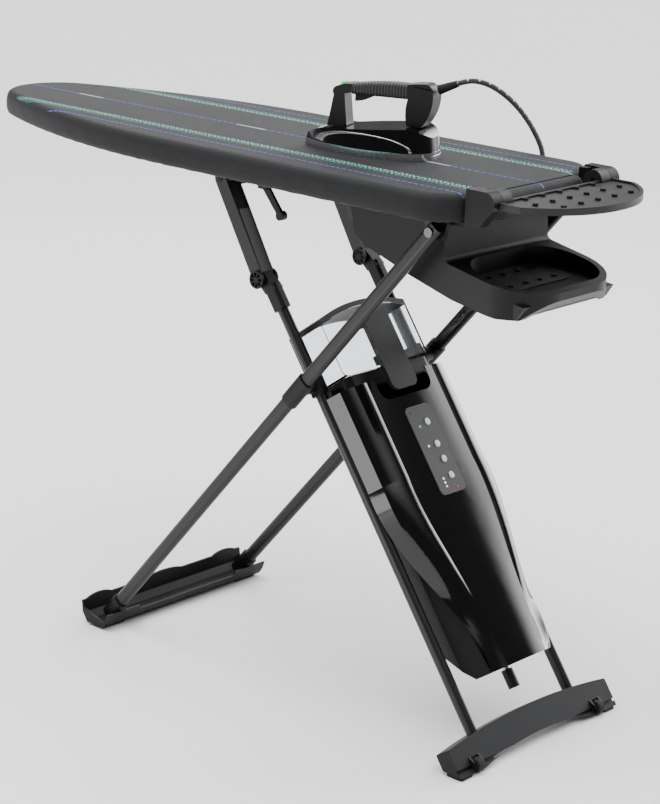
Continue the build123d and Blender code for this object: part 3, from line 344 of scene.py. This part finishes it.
finishes = {
    "cover_fabric": cover_cloth(),
    "felt": moulded("felt", 0.35, 0.95, 300.0, 0.6),
    "frame_paint": paint("frame_paint", 0.006, 0.36),
    "black_plastic": moulded("black_plastic", 0.004, 0.45),
    "housing_plastic": moulded("housing_plastic", 0.006, 0.42, tint=(0.97, 1, 1.03)),
    "gloss_black": gloss("gloss_black", 0.002),
    "bright_steel": metal("bright_steel", 0.16, 0.38, (1, 12, 1)),
    "chrome_trim": metal("chrome_trim", 0.8, 0.09, grain=900.0),
    "sole_metal": metal("sole_metal", 0.6, 0.25, (8, 1, 1)),
    "boiler_metal": metal("boiler_metal", 0.55, 0.35),
    "rubber_black": moulded("rubber_black", 0.012, 0.7, 2600.0, 0.4),
    "tank_clear": clear_plastic(),
    "slab_grey": moulded("slab_grey", 0.02, 0.3, coat=0.2),
    "panel_grey": moulded("panel_grey", 0.07, 0.32, 2200.0, 0.15, coat=0.2),
    "button_silver": metal("button_silver", 0.62, 0.3),
    "rest_grey": paint("rest_grey", 0.012, 0.5),
    "lamp_lens": lamp_lens(),
    "grip_rubber": ribbed_rubber(),
    "cord_braid": braided_cord(),
    "mat_silicone": moulded("mat_silicone", 0.02, 0.5, 1200.0, 0.3),
}
for part in frame["record"]["subparts"]:
    materials = nodes_of[part["node"]].data.materials
    materials.clear()
    materials.append(finishes[part["material_slot"]])


# ---------------------------------------------------------------- mesh helpers
def mesh_piece(name, points, faces, material, body, smooth=True):
    """A mesh object that rides on a body and wears one material."""
    mesh = bpy.data.meshes.new(name)
    mesh.from_pydata([tuple(point) for point in points], [], faces)
    mesh.polygons.foreach_set("use_smooth", [smooth] * len(mesh.polygons))
    mesh.materials.append(material)
    piece = bpy.data.objects.new(name, mesh)
    bpy.context.scene.collection.objects.link(piece)
    if body:
        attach(piece, body)
    return piece


def face_outward(piece):
    """Turns all faces of a closed piece outward."""
    mesh = bmesh.new()
    mesh.from_mesh(piece.data)
    bmesh.ops.recalc_face_normals(mesh, faces=mesh.faces)
    mesh.to_mesh(piece.data)
    mesh.free()


# ---------------------------------------------------------------- padded cover
def arc_points(center, radius, start, sweep, count):
    """Points along an arc, without its last one."""
    turns = [start + sweep * i / count for i in range(count)]
    return [(center[0] + radius * cos(turn), center[1] + radius * sin(turn)) for turn in turns]


def line_points(start, end, count):
    """Points along a straight line, without its last one."""
    step = ((end[0] - start[0]) / count, (end[1] - start[1]) / count)
    return [(start[0] + step[0] * i, start[1] + step[1] * i) for i in range(count)]


def board_outline():
    """Closed plan of the board, starting at the middle of the nose and running round by +Y."""
    taper_r = (board_half_width - nose_r * cos(taper_turn)) / (1 - cos(taper_turn))
    taper_end_x = nose_x + nose_r * (1 - sin(taper_turn)) + taper_r * sin(taper_turn)
    taper_center = (taper_end_x, board_half_width - taper_r)
    corner_center = (end_shoulder_x - corner_r, board_half_width - corner_r)
    half = arc_points((nose_x + nose_r, 0), nose_r, pi, -(pi / 2 - taper_turn), 16)
    half += arc_points(taper_center, taper_r, pi / 2 + taper_turn, -taper_turn, 40)
    half += line_points((taper_end_x, board_half_width), (corner_center[0], board_half_width), 26)
    half += arc_points(corner_center, corner_r, pi / 2, -pi / 2, 16)
    half += line_points((end_shoulder_x, corner_center[1]), (end_shoulder_x, end_tongue_half + notch_r), 2)
    half += arc_points((end_shoulder_x + notch_r, end_tongue_half + notch_r), notch_r, pi, pi / 2, 6)
    half += arc_points((end_x - notch_r, end_tongue_half - notch_r), notch_r, pi / 2, -pi / 2, 6)
    half += line_points((end_x, end_tongue_half - notch_r), (end_x, 0), 8)
    mirrored = [(x, -y) for x, y in reversed(half[1:])]
    return half + [(end_x, 0)] + mirrored


def padded_cover():
    """The board's cover: full rounded edges, a flat top and a hem drawn in underneath."""
    outline = board_outline()
    count = len(outline)
    inward = []
    for i in range(count):
        (ax, ay), (bx, by) = outline[i - 1], outline[(i + 1) % count]
        inward.append(Vector((by - ay, ax - bx, 0)).normalized())
    # inset and height of each ring, from the hem round the edge to the top
    profile = (
        (0.021, 0.0035), (0.017, 0.0000), (0.009, 0.0002), (0.0035, 0.0028), (0.0008, 0.0085), (0.0, 0.017),
        (0.0, 0.027), (0.0012, 0.0345), (0.0042, 0.0398), (0.0085, 0.0428), (0.0135, 0.0438), (0.020, 0.0440),
    )
    hem_rings, edge_rings = range(3), range(3, 8)
    points, faces = [], []
    for ring, (inset, height) in enumerate(profile):
        for i, (x, y) in enumerate(outline):
            ruck = 0.0004 * sin(i * 1.7) * sin(i * 0.37 + ring) if ring in edge_rings else 0.0
            droop = 0.00048 * sin(i * 2.3) if ring in hem_rings else 0.0
            shift = inward[i] * (inset + ruck)
            points.append((x + shift.x, y + shift.y, cover_bottom + height - droop))
    for ring in range(len(profile) - 1):
        for i in range(count):
            j = (i + 1) % count
            faces.append((ring * count + i, ring * count + j, (ring + 1) * count + j, (ring + 1) * count + i))
    faces.append(tuple((len(profile) - 1) * count + i for i in range(count)))
    piece = mesh_piece("padded_cover", points, faces, finishes["cover_fabric"], "board")
    face_outward(piece)
    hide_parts("board_cover", "felt_pad")


padded_cover()


# ---------------------------------------------------------------- chrome arcs on the iron's flanks
def chrome_arc(name, sign):
    """A crescent of bright trim on one flank of the iron's body, wide at the nose and thin at the heel."""
    body = nodes_of["iron_body"]
    flank = BVHTree.FromPolygons(
        [body.matrix_world @ vertex.co for vertex in body.data.vertices],
        [tuple(polygon.vertices) for polygon in body.data.polygons],
    )
    along = Vector((cos(iron_yaw), sin(iron_yaw), 0))
    outward = Vector((-sin(iron_yaw), cos(iron_yaw), 0)) * sign
    proud, sunk, foot, ray_length, stations, lanes = 0.0005, 0.0005, 0.0138, 0.1, 48, 5
    # middle, half length and rise of the crescent's outer and inner edges
    outer = (0.113, 0.091, 0.0225)
    inner = (0.122, 0.078, 0.0205)
    points, faces = [], []
    for lift in (proud, -sunk):
        for station in range(stations + 1):
            turn = pi * station / stations
            for lane in range(lanes):
                share = lane / (lanes - 1)
                middle, half_length, rise = (a + (b - a) * share for a, b in zip(outer, inner))
                start = iron_nose + along * (middle - half_length * cos(turn)) + outward * ray_length
                start.z += foot + rise * sin(turn)
                place, normal, _, _ = flank.ray_cast(start, -outward)
                points.append(place + normal * lift)
    layer = (stations + 1) * lanes
    for station in range(stations):
        for lane in range(lanes - 1):
            corner = station * lanes + lane
            quad = (corner, corner + 1, corner + lanes + 1, corner + lanes)
            faces.append(quad)
            faces.append(tuple(layer + k for k in reversed(quad)))
    rim = [station * lanes for station in range(stations + 1)]
    rim += [stations * lanes + lane for lane in range(1, lanes)]
    rim += [station * lanes + lanes - 1 for station in range(stations - 1, -1, -1)]
    rim += list(range(lanes - 2, 0, -1))
    for a, b in zip(rim, rim[1:] + rim[:1]):
        faces.append((a, b, layer + b, layer + a))
    piece = mesh_piece(name, points, faces, finishes["chrome_trim"], "iron")
    face_outward(piece)


chrome_arc("chrome_arc_near", -1)
chrome_arc("chrome_arc_far", 1)


# ---------------------------------------------------------------- steam cord
relief_end = Vector((0.320524, 0.0382915, 1.0303))
relief_axis = Vector((0.877, 0.2951, 0.3792)).normalized()
edge_crossing = (0.369, 0.206, 0.912)


def cord_route():
    """Points from the iron's strain relief over the far edge, round the coil's turns and into the outlet."""
    route = [relief_end, relief_end + relief_axis * 0.020]
    route += [
        Vector(point)
        for point in (
            (0.357, 0.065, 1.033), (0.371, 0.088, 1.018), (0.378, 0.118, 0.995), (0.379, 0.150, 0.967),
            (0.375, 0.181, 0.938), edge_crossing, (0.366, 0.217, 0.884), (0.370, 0.212, 0.857),
            (0.374, 0.201, 0.832),
        )
    ]
    points_per_turn = 16
    for step in range(int(coil_turns * points_per_turn) + 1):
        turn = step / points_per_turn
        share = turn / coil_turns
        # the turns wind inwards by two diameters and out again, from one side of the coil to the other
        radius = coil_r - cord_d * (1 - abs(2 * share - 1)) * 2
        side = cord_d / 2 * cos(pi * share)
        angle = -2 * pi * turn
        route.append(coil_center + Vector((radius * cos(angle), side, radius * sin(angle))))
    route.append(coil_center + Vector((-coil_r, -0.001, 0.020)))
    route.append(coil_center + Vector((-coil_r, 0.0, 0.039)))
    return route


def smooth_path(name, route):
    """Points along a NURBS spline that has the route's points as its control points."""
    curve = bpy.data.curves.new(name, "CURVE")
    curve.dimensions = "3D"
    curve.resolution_u = 8
    spline = curve.splines.new("NURBS")
    spline.points.add(len(route) - 1)
    for point, place in zip(spline.points, route):
        point.co = (*place, 1)
    spline.order_u = 3
    spline.use_endpoint_u = True
    carrier = bpy.data.objects.new(name, curve)
    line = bpy.data.meshes.new_from_object(carrier)
    path = [vertex.co.copy() for vertex in line.vertices]
    bpy.data.objects.remove(carrier)
    bpy.data.meshes.remove(line)
    return path


def tube(name, path, radius, material, sides=14):
    """A tube along a path, with a map that runs round it and along it in diameters."""
    points, faces, lengths = [], [], [0.0]
    for a, b in zip(path, path[1:]):
        lengths.append(lengths[-1] + (b - a).length)
    side = (path[1] - path[0]).orthogonal().normalized()
    for i, place in enumerate(path):
        ahead = (path[min(i + 1, len(path) - 1)] - path[max(i - 1, 0)]).normalized()
        side = (side - ahead * side.dot(ahead)).normalized()
        other = ahead.cross(side)
        for k in range(sides):
            angle = 2 * pi * k / sides
            points.append(place + (side * cos(angle) + other * sin(angle)) * radius)
    for i in range(len(path) - 1):
        for k in range(sides):
            j = (k + 1) % sides
            faces.append((i * sides + k, i * sides + j, (i + 1) * sides + j, (i + 1) * sides + k))
    faces.append(tuple(reversed(range(sides))))
    faces.append(tuple((len(path) - 1) * sides + k for k in range(sides)))
    piece = mesh_piece(name, points, faces, material, None)
    layer = piece.data.uv_layers.new(name="braid")
    for index, polygon in enumerate(piece.data.polygons):
        if polygon.loop_total != 4:
            continue
        i, k = divmod(index, sides)
        corners = ((k, i), (k + 1, i), (k + 1, i + 1), (k, i + 1))
        for loop, (around, ring) in zip(polygon.loop_indices, corners):
            layer.data[loop].uv = (around / sides, lengths[ring] / (2 * radius))
    return piece, lengths[-1]


cord_path = smooth_path("cord_line", cord_route())
cord, cord_length = tube("steam_cord", cord_path, cord_d / 2, finishes["cord_braid"])
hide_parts("iron_cord", "cord_coil")
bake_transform(cord)
print("steam cord length", round(cord_length, 3))


# ---------------------------------------------------------------- floor, light and camera
def studio_floor():
    """A wide pale floor, just under the feet."""
    shader = Shader("studio_floor")
    base = shader.blend(shader.noise(0.7), grey(0.84), grey(0.86))
    shader.link(base, shader.surface.inputs["Base Color"])
    shader.surface.inputs["Roughness"].default_value = 0.9
    reach, drop = 30, -0.0005
    corners = [(-reach, -reach, drop), (reach, -reach, drop), (reach, reach, drop), (-reach, reach, drop)]
    mesh_piece("studio_floor", corners, [(0, 1, 2, 3)], shader.material, None, smooth=False)


studio_floor()


def softbox(name, place, target, size, power):
    """An area light that faces a target and is itself out of sight."""
    light = bpy.data.lights.new(name, "AREA")
    light.shape = "RECTANGLE"
    light.size, light.size_y = size
    light.energy = power
    holder = bpy.data.objects.new(name, light)
    holder.location = place
    holder.rotation_euler = (Vector(target) - Vector(place)).to_track_quat("-Z", "Y").to_euler()
    holder.visible_camera = False
    bpy.context.scene.collection.objects.link(holder)


softbox("key_light", (-0.6, -0.8, 3.6), (0, 0, 0.8), (2.4, 1.6), 60)
softbox("left_light", (-0.1, -1.5, 0.22), (0.45, -0.1, 0.3), (0.9, 0.36), 5)
softbox("back_light", (-2.4, 2.2, 2.2), (0, 0, 0.9), (2.0, 1.0), 30)


def studio_sky():
    """Bright overhead and dim at the horizon, with a soft glow on the far side for the polished cover."""
    world = bpy.data.worlds.new("studio")
    world.use_nodes = True
    tree = world.node_tree
    direction = tree.nodes.new("ShaderNodeTexCoord").outputs["Generated"]

    def ramp(axis, start, end, top):
        """Strength that rises from 0 to the top value as a direction comes close to the axis."""
        closeness = tree.nodes.new("ShaderNodeVectorMath")
        closeness.operation = "DOT_PRODUCT"
        tree.links.new(direction, closeness.inputs[0])
        closeness.inputs[1].default_value = Vector(axis).normalized()
        node = tree.nodes.new("ShaderNodeMapRange")
        node.interpolation_type = "SMOOTHSTEP"
        tree.links.new(closeness.outputs["Value"], node.inputs["Value"])
        node.inputs["From Min"].default_value = start
        node.inputs["From Max"].default_value = end
        node.inputs["To Min"].default_value = 0.0
        node.inputs["To Max"].default_value = top
        return node.outputs["Result"]

    def total(a, b):
        """Sum of an output and another output or a plain value."""
        node = tree.nodes.new("ShaderNodeMath")
        tree.links.new(a, node.inputs[0])
        if isinstance(b, bpy.types.NodeSocket):
            tree.links.new(b, node.inputs[1])
        else:
            node.inputs[1].default_value = b
        return node.outputs[0]

    horizon = 0.12
    overhead = ramp((0, 0, 1), 0.5, 0.9, 3.4)
    glow = ramp((0.05, 0.97, 0.20), 0.86, 0.99, 9.0)
    strength = total(glow, total(overhead, horizon))
    background = tree.nodes["Background"]
    background.inputs[0].default_value = (0.98, 0.99, 1.0, 1)
    tree.links.new(strength, background.inputs[1])
    bpy.context.scene.world = world


studio_sky()

def studio_camera():
    """A long lens that looks at the object from the front right, turned a little about its own axis."""
    data = bpy.data.cameras.new("camera")
    data.lens = 103.18
    data.shift_x, data.shift_y = 0.1686, 0.0543
    data.sensor_width = 36
    camera = bpy.data.objects.new("camera", data)
    place = Vector((2.5795, -2.8251, 1.6044))
    yaw, pitch, roll = radians(44.59), radians(18.07), radians(1.31)
    ahead = Vector((-sin(yaw) * cos(pitch), cos(yaw) * cos(pitch), -sin(pitch)))
    level_right = Vector((cos(yaw), sin(yaw), 0))
    level_up = level_right.cross(ahead)
    right = level_right * cos(roll) + level_up * sin(roll)
    up = level_up * cos(roll) - level_right * sin(roll)
    camera.matrix_world = Matrix((
        (right.x, up.x, -ahead.x, place.x),
        (right.y, up.y, -ahead.y, place.y),
        (right.z, up.z, -ahead.z, place.z),
        (0, 0, 0, 1),
    ))
    bpy.context.scene.collection.objects.link(camera)
    bpy.context.scene.camera = camera


studio_camera()
